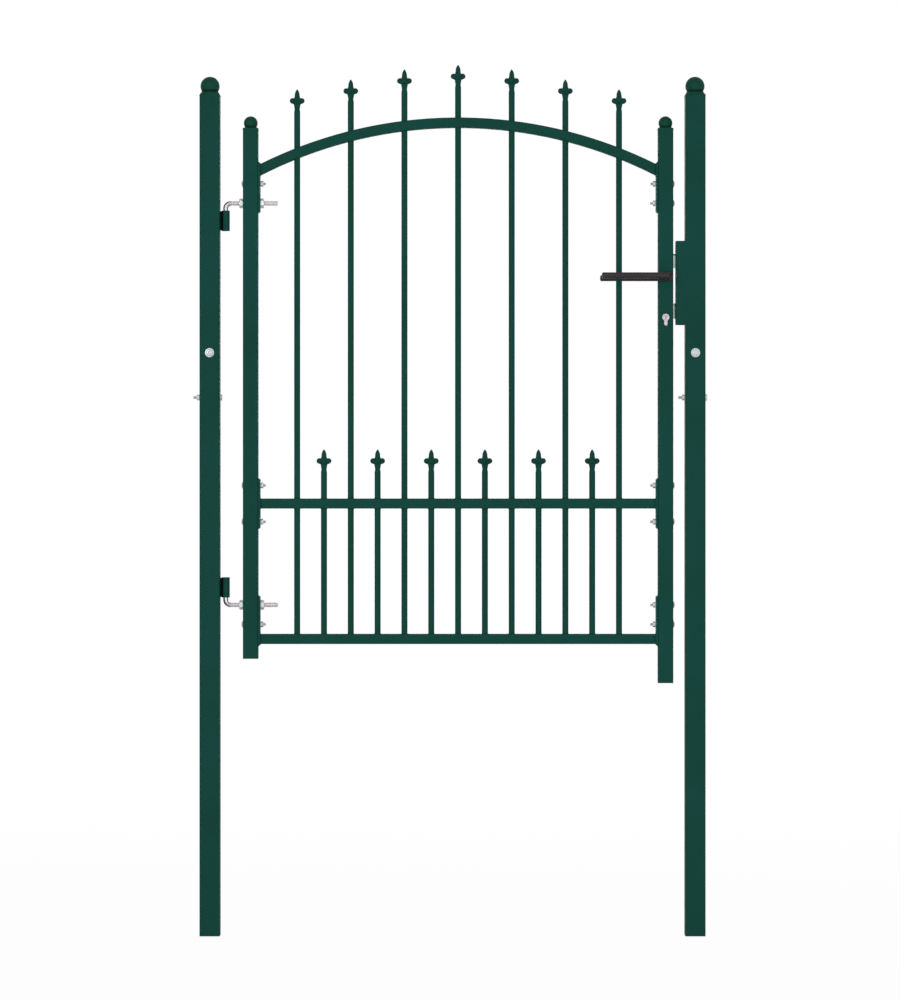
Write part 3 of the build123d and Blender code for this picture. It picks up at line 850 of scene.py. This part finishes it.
# %% Fillets on the straight rails
def weld_fillet(inner, leg):
    """A ring of weld round a bar, standing on the plane z = 0."""
    root, lip, bite = 0.4 * MM, 0.05 * MM, 0.1 * MM
    bore, toe = inner - root, inner + leg
    return turned_part("weld_fillet", [
        (bore, -root), (toe, -root), (toe, lip), (inner + 0.45 * leg, 0.3 * leg),
        (inner + 0.12 * leg, 0.75 * leg), (inner - bite, leg), (bore, leg), (bore, -root),
    ], segments=24)


PICKET_RADIUS = 6.0 * MM
fillet = weld_fillet(PICKET_RADIUS, leg=1.4 * MM)
upside_down = Matrix.Scale(-1, 4, (0, 0, 1))
tall_x = [middle_of(f"tall_picket_{number}").x for number in range(1, 8)]
short_x = [middle_of(f"short_picket_{number}").x for number in range(1, 7)]
for rail, has_under in (("mid_rail", True), ("bottom_rail", False)):
    low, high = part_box(rail)
    copies = []
    for x in tall_x + short_x:
        if has_under:
            copies.append((fillet, Matrix.Translation((x, 0, low.z)) @ upside_down))
        copies.append((fillet, Matrix.Translation((x, 0, high.z))))
    show_piece(f"{rail}_picket_welds", copies, green_coat, "leaf")
    print(rail, "fillets:", len(copies))

# %% [markdown]
# ## Fillets on the arch
# The arch is a piece of a ring. Its span and rise give its radius, and that gives its height and
# slope at each picket. A shear tilts the fillet to the slope and leaves its bore upright.

# %% Fillets on the arch
def leaning(slope):
    """The matrix that lifts a shape by slope for each metre along X."""
    lean = Matrix.Identity(4)
    lean[2][0] = slope
    return lean


ARCH_RISE = 92.0 * MM
low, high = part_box("arch_rail")
rail_side = high.y - low.y
half_span = (high.x - low.x) / 2
arch_radius = (half_span ** 2 + ARCH_RISE ** 2) / (2 * ARCH_RISE)
arch_radii = (arch_radius, arch_radius - rail_side)
arch_centre = Vector((middle_of("arch_rail").x, 0, high.z - arch_radius))
copies = []
for x in tall_x:
    for radius, flip in zip(arch_radii, (Matrix.Identity(4), upside_down)):
        across = x - arch_centre.x
        rise = (radius ** 2 - across ** 2) ** 0.5
        face = Matrix.Translation((x, 0, arch_centre.z + rise)) @ leaning(-across / rise)
        copies.append((fillet, face @ flip))
show_piece("arch_rail_picket_welds", copies, green_coat, "leaf")
print("arch radius", round(arch_radius, 4), "m")

# %% [markdown]
# ## Collars at the rails' ends
# A square weld closes each rail's end against its plate. It starts as a square outline with
# rounded corners, which is drawn on and widened in steps and bridged back to its start. At the
# arch the rail meets its plate at a slant, so the collar is stretched and sheared.

# %% Collars where the rails meet their plates
def rounded_oblong(bm, width, height, corner, steps):
    """Draw an outline with rounded corners on the plane z = 0 and return its edges."""
    bmesh.ops.create_circle(bm, segments=4, radius=0.5 ** 0.5)
    eighth_turn = Matrix.Rotation(pi / 4, 3, "Z")
    bmesh.ops.rotate(bm, verts=bm.verts[:], cent=(0, 0, 0), matrix=eighth_turn)
    bmesh.ops.scale(bm, verts=bm.verts[:], vec=(width, height, 1))
    soften(bm, bm.verts[:], corner, steps, affect="VERTICES")
    return bm.edges[:]


def square_collar(side, corner, leg):
    """A mitred weld round a square tube that stands on the plane z = 0."""
    wall, lip, bite = 1.0 * MM, 0.1 * MM, 0.2 * MM
    outline = [
        (side + 2 * leg, lip), (side + 0.5 * leg, 0.5 * leg), (side - bite, leg),
        (side - wall, leg), (side - wall, 0.0),
    ]
    bm = bmesh.new()
    first = loop = rounded_oblong(bm, side, side, corner, steps=4)
    width, height = side, 0.0
    for new_width, new_height in outline:
        loop = draw_on(bm, loop, (0, 0, new_height - height))
        widen(bm, loop, new_width / width)
        width, height = new_width, new_height
    bmesh.ops.bridge_loops(bm, edges=first + loop)
    return keep_part(bm, "square_collar")


collar = square_collar(rail_side, corner=2.0 * MM, leg=1.6 * MM)
for rail in ("mid_rail", "bottom_rail", "arch_rail"):
    low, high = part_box(rail)
    copies = []
    for face, side in ((low.x, 1), (high.x, -1)):
        slope, stretch, height = 0.0, 1.0, middle_of(rail).z
        if rail == "arch_rail":
            across = face - arch_centre.x
            outer, inner = [(radius ** 2 - across ** 2) ** 0.5 for radius in arch_radii]
            slope = -across / ((outer + inner) / 2)
            stretch = (outer - inner) / rail_side
            height = arch_centre.z + (outer + inner) / 2
        slant = leaning(slope) @ Matrix.Diagonal((1, 1, stretch, 1))
        stand = slant @ axis_to((side, 0, 0), (0, 0, 0))
        copies.append((collar, Matrix.Translation((face, 0, height)) @ stand))
    show_piece(f"{rail}_end_welds", copies, green_coat, "leaf")
print("collar faces:", len(collar.polygons))

# %% [markdown]
# ## The levers' roses
# A black nylon rose lies on the stile round each lever's hub. It starts as a rounded oblong that
# is drawn up, drawn in for its chamfer and bridged to a round hole. The hole has as many points
# as the outline, so the bridge runs evenly.

# %% The levers' roses
def chamfered_rose(width, height, thickness, chamfer, hole):
    """A flat oblong plate on z = 0 with rounded corners, a chamfered front and a hole."""
    corner, corner_steps = 3 * MM, 7
    bm = bmesh.new()
    back = rounded_oblong(bm, width, height, corner, corner_steps)
    front = draw_on(bm, draw_on(bm, back, (0, 0, thickness - chamfer)), (0, 0, chamfer))
    inset = (1 - 2 * chamfer / width, 1 - 2 * chamfer / height, 1)
    bmesh.ops.scale(bm, verts=verts_of(front), vec=inset)
    circle = bmesh.ops.create_circle(bm, segments=len(back), radius=hole)["verts"]
    bmesh.ops.translate(bm, verts=circle, vec=(0, 0, thickness))
    mouth = list({edge for v in circle for edge in v.link_edges})
    bmesh.ops.bridge_loops(bm, edges=front + mouth)
    bmesh.ops.bridge_loops(bm, edges=back + draw_on(bm, mouth, (0, 0, -thickness)))
    return keep_part(bm, "chamfered_rose")


rose = chamfered_rose(
    width=28 * MM, height=19 * MM, thickness=3 * MM, chamfer=1.2 * MM, hole=7 * MM,
)
print("rose faces:", len(rose.polygons))

# %% [markdown]
# ## Plug collars and grub screws
# The cylinder's plug sits in a collar round the keyway, and a grub screw under each hub pinches
# the spindle. Both are turned. They go on with the roses, once in front and once behind.

# %% Plug collars and grub screws
proud = 0.35 * MM
bore, rim, edge = 4.4 * MM, 5.3 * MM, 0.2 * MM
plug_collar = turned_part("plug_collar", [
    (bore, -proud), (rim, -proud), (rim, 0.6 * proud), (rim - edge, proud),
    (bore + edge, proud), (bore, 0.6 * proud), (bore, -proud),
], segments=48)
socket_radius, socket_depth, cone = 1.1 * MM, 1.2 * MM, 0.2 * MM
grub_radius, grub_length, lip = 1.9 * MM, 2.0 * MM, 0.1 * MM
grub_screw = turned_part("grub_screw", [
    (0, -socket_depth - cone), (socket_radius, -socket_depth), (socket_radius, 0),
    (grub_radius, lip), (grub_radius, -grub_length), (0, -grub_length),
], segments=24)

cylinder_low, cylinder_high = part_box("lock_cylinder")
cylinder_radius = 6.9 * MM
plug_x, plug_z = middle_of("lock_cylinder").x, cylinder_high.z - cylinder_radius
spindle = middle_of("lever_spindle")
stile_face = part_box("lock_stile")[1].y
hub_reach = 26 * MM
hub_radius = 6.2 * MM
for where, side, face in (("front", -1, cylinder_low.y), ("back", 1, cylinder_high.y)):
    outward = (0, side, 0)
    at_plug = axis_to(outward, (plug_x, face, plug_z))
    at_hub = axis_to(outward, (spindle.x, side * stile_face, spindle.z))
    under_hub = axis_to((0, 0, -1), (spindle.x, side * hub_reach, spindle.z - hub_radius))
    show_piece(f"{where}_plug_collar", [(plug_collar, at_plug)], nickel, "leaf")
    show_piece(f"{where}_lever_rose", [(rose, at_hub)], nylon, "leaf")
    show_piece(
        f"{where}_lever_grub_screw", [(grub_screw, under_hub)], lock_steel, "lever",
    )
print("spindle at x", round(spindle.x, 4), "z", round(spindle.z, 4))

# %% [markdown]
# ## Faceplate screws
# Two slotted screws hold the lock's faceplate. Their head is a turned disc, cut to the half beside
# its slot and mirrored, over a smaller disc that is the slot's floor.

# %% Faceplate screws
def slotted_head(radius, slot):
    """A flush screw head, cut to the two halves beside its slot, over the slot's floor."""
    crown, floor, foot = 0.25 * MM, -0.35 * MM, -0.6 * MM
    core = 0.9 * radius
    bm = bmesh.new()
    turned(bm, [(0, crown), (0.6 * radius, 0.8 * crown), (radius, 0), (radius, foot), (0, foot)])
    bmesh.ops.edgeloop_fill(bm, edges=slice_off(bm, (slot / 2, 0, 0), (-1, 0, 0)))
    bmesh.ops.mirror(bm, geom=all_of(bm), axis="X", merge_dist=0)
    turned(bm, [(0, floor), (core, floor), (core, foot), (0, foot)])
    return keep_part(bm, "slotted_head")


screw = slotted_head(radius=3.1 * MM, slot=0.9 * MM)
screw_turn = Matrix.Rotation(radians(25), 4, "Z")
screw_inset = 4 * MM
case_low, case_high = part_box("lock_case")
copies = [
    (screw, axis_to((1, 0, 0), (case_high.x, 0, height)) @ screw_turn)
    for height in (case_low.z + screw_inset, case_high.z - screw_inset)
]
show_piece("faceplate_screws", copies, zinc, "leaf")
print("slotted head faces:", len(screw.polygons))

# %% [markdown]
# ## Nose of the dead bolt
# The solid dead bolt is drawn back. Its nose is added here as a block with softened edges and two
# hardened pins. It crosses most of the gap and stops short of the strike box, so the leaf can
# open. Its skin lies a tenth of a millimetre over the solid, so that the two don't flicker.

# %% Nose of the dead bolt
def bolt_nose(low, high):
    """A block between two corners, with softened edges round its +X end."""
    bm = bmesh.new()
    bmesh.ops.create_cube(bm, size=1)
    bmesh.ops.scale(bm, verts=bm.verts[:], vec=high - low)
    bmesh.ops.translate(bm, verts=bm.verts[:], vec=(low + high) / 2)
    end = [edge for edge in bm.edges if any(v.co.x > high.x - MERGE for v in edge.verts)]
    soften(bm, end, offset=0.6 * MM, segments=3)
    return keep_part(bm, "bolt_nose")


short_of_strike = 0.9 * MM
skin = Vector((0, 0.1 * MM, 0.1 * MM))
bolt_low, bolt_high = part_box("dead_bolt")
nose_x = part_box("strike_box")[0].x - short_of_strike
nose = bolt_nose(bolt_low - skin, Vector((nose_x, bolt_high.y, bolt_high.z)) + skin)
pin_radius, pin_flat, pin_depth = 1.5 * MM, 1.1 * MM, 1.0 * MM
pin_crown = 0.2 * MM
pin_offset = 8 * MM
hard_pin = turned_part("hard_pin", [
    (0, pin_crown), (pin_flat, 0.75 * pin_crown), (pin_radius, -0.5 * pin_crown),
    (pin_radius, -pin_depth), (0, -pin_depth),
], segments=24)
bolt_middle = middle_of("dead_bolt").z
copies = [(nose, Matrix.Identity(4))] + [
    (hard_pin, axis_to((1, 0, 0), (nose_x, 0, height)))
    for height in (bolt_middle - pin_offset, bolt_middle + pin_offset)
]
show_piece("dead_bolt_nose", copies, latch_steel, "leaf")
print("the nose stands", round((nose_x - case_high.x) / MM, 2), "mm out of the faceplate")

# %% [markdown]
# ## White world
# The picture is a catalogue cut-out: white all round, lit evenly from the front. The world is
# white to the camera and in reflections, and gentler as a light.

# %% White world
FILL = 0.40
WHITE = (1.0, 1.0, 1.0, 1.0)


def seen_directly(wire):
    """1 for rays from the camera, from a mirror or through glass, and 0 for the rest."""
    camera_ray, mirror_ray, glass_ray = [
        wire.node("ShaderNodeLightPath", output=f"Is {kind} Ray")
        for kind in ("Camera", "Glossy", "Transmission")
    ]
    return wire.math("MAXIMUM", wire.math("MAXIMUM", camera_ray, mirror_ray), glass_ray)


world = bpy.data.worlds.new("white_studio")
world.use_nodes = True
world.node_tree.nodes.clear()
sky = Wire(world.node_tree)
strength = FILL + (1 - FILL) * seen_directly(sky)
backdrop = sky.node("ShaderNodeBackground", None, {"Color": WHITE, "Strength": strength})
sky.node("ShaderNodeOutputWorld", None, {"Surface": backdrop})
scene.world = world
print("world fill", FILL)

# %% [markdown]
# ## Floor
# The floor shows mostly white and keeps a faint shadow under the posts. It is a matt grey mixed
# with a white glow, which takes over with distance, so that no horizon shows.

# %% Floor
FLOOR_HALF = 40
GLOW_NEAR = 0.96
FADE_START, FADE_END = 1.5, 4.0
floor_paint, ground = start_finish("studio_floor")
matt = ground.node("ShaderNodeBsdfDiffuse", None, {"Color": (0.86, 0.86, 0.86, 1.0)})
glow = ground.node("ShaderNodeEmission", None, {"Color": WHITE, "Strength": 1.0})
reach = ground.node("ShaderNodeVectorMath", {"operation": "LENGTH"}, {0: ground}, "Value")
far = reach.stretch(FADE_START, FADE_END)
share = seen_directly(ground) * (GLOW_NEAR + (1 - GLOW_NEAR) * far)
both = ground.node("ShaderNodeMixShader", None, {0: share, 1: matt, 2: glow})
ground.node("ShaderNodeOutputMaterial", None, {"Surface": both})
bm = bmesh.new()
bmesh.ops.create_grid(bm, x_segments=1, y_segments=1, size=FLOOR_HALF)
floor_mesh = bpy.data.meshes.new("studio_floor")
bm.to_mesh(floor_mesh)
bm.free()
floor_mesh.materials.append(floor_paint)
floor = bpy.data.objects.new("studio_floor", floor_mesh)
scene.collection.objects.link(floor)
print("floor", 2 * FLOOR_HALF, "m across")

# %% [markdown]
# ## Lamps
# Two large soft lamps stand in front, the left one stronger, and one behind lifts the back for
# views from there. Large lamps give soft edges to the shadows and even tones along the tubes.

# %% Lamps
LAMP_SIDE = 3.0
gate_middle = Vector((0.48, 0, 0.9))


def soft_lamp(name, place, power):
    """A square area lamp that looks at the gate's middle."""
    light = bpy.data.lights.new(name, "AREA")
    light.shape = "SQUARE"
    light.size = LAMP_SIDE
    light.energy = power
    lamp = bpy.data.objects.new(name, light)
    lamp.location = place
    aim = gate_middle - Vector(place)
    lamp.rotation_euler = aim.to_track_quat("-Z", "Y").to_euler()
    lamp.visible_camera = False
    scene.collection.objects.link(lamp)
    print(name, "at", round(aim.length, 2), "m")


soft_lamp("key_lamp", place=(-2.0, -5.2, 1.9), power=120)
soft_lamp("fill_lamp", place=(2.9, -5.0, 1.3), power=80)
soft_lamp("back_lamp", place=(0.6, 5.0, 2.4), power=120)

# %% [markdown]
# ## Camera
# The camera is level and far away, so that uprights stay upright. A pixel of the picture is
# 1.98 mm at the gate, so its 1000 rows are 1.98 m tall there. A sensor side of 36 mm and a
# distance of 8.2 m then give the lens.

# %% Camera
PICTURE_HEIGHT = 1.980
DISTANCE = 8.2
EYE_X, EYE_HEIGHT = 0.475, 0.862
camera_data = bpy.data.cameras.new("catalogue_camera")
camera_data.sensor_width = 36.0
camera_data.lens = camera_data.sensor_width * DISTANCE / PICTURE_HEIGHT
camera = bpy.data.objects.new("catalogue_camera", camera_data)
camera.location = (EYE_X, -DISTANCE, EYE_HEIGHT)
camera.rotation_euler = (pi / 2, 0, 0)
scene.collection.objects.link(camera)
scene.camera = camera
scene.view_settings.view_transform = "Standard"
print("lens", round(camera_data.lens, 1), "mm")

# %% [markdown]
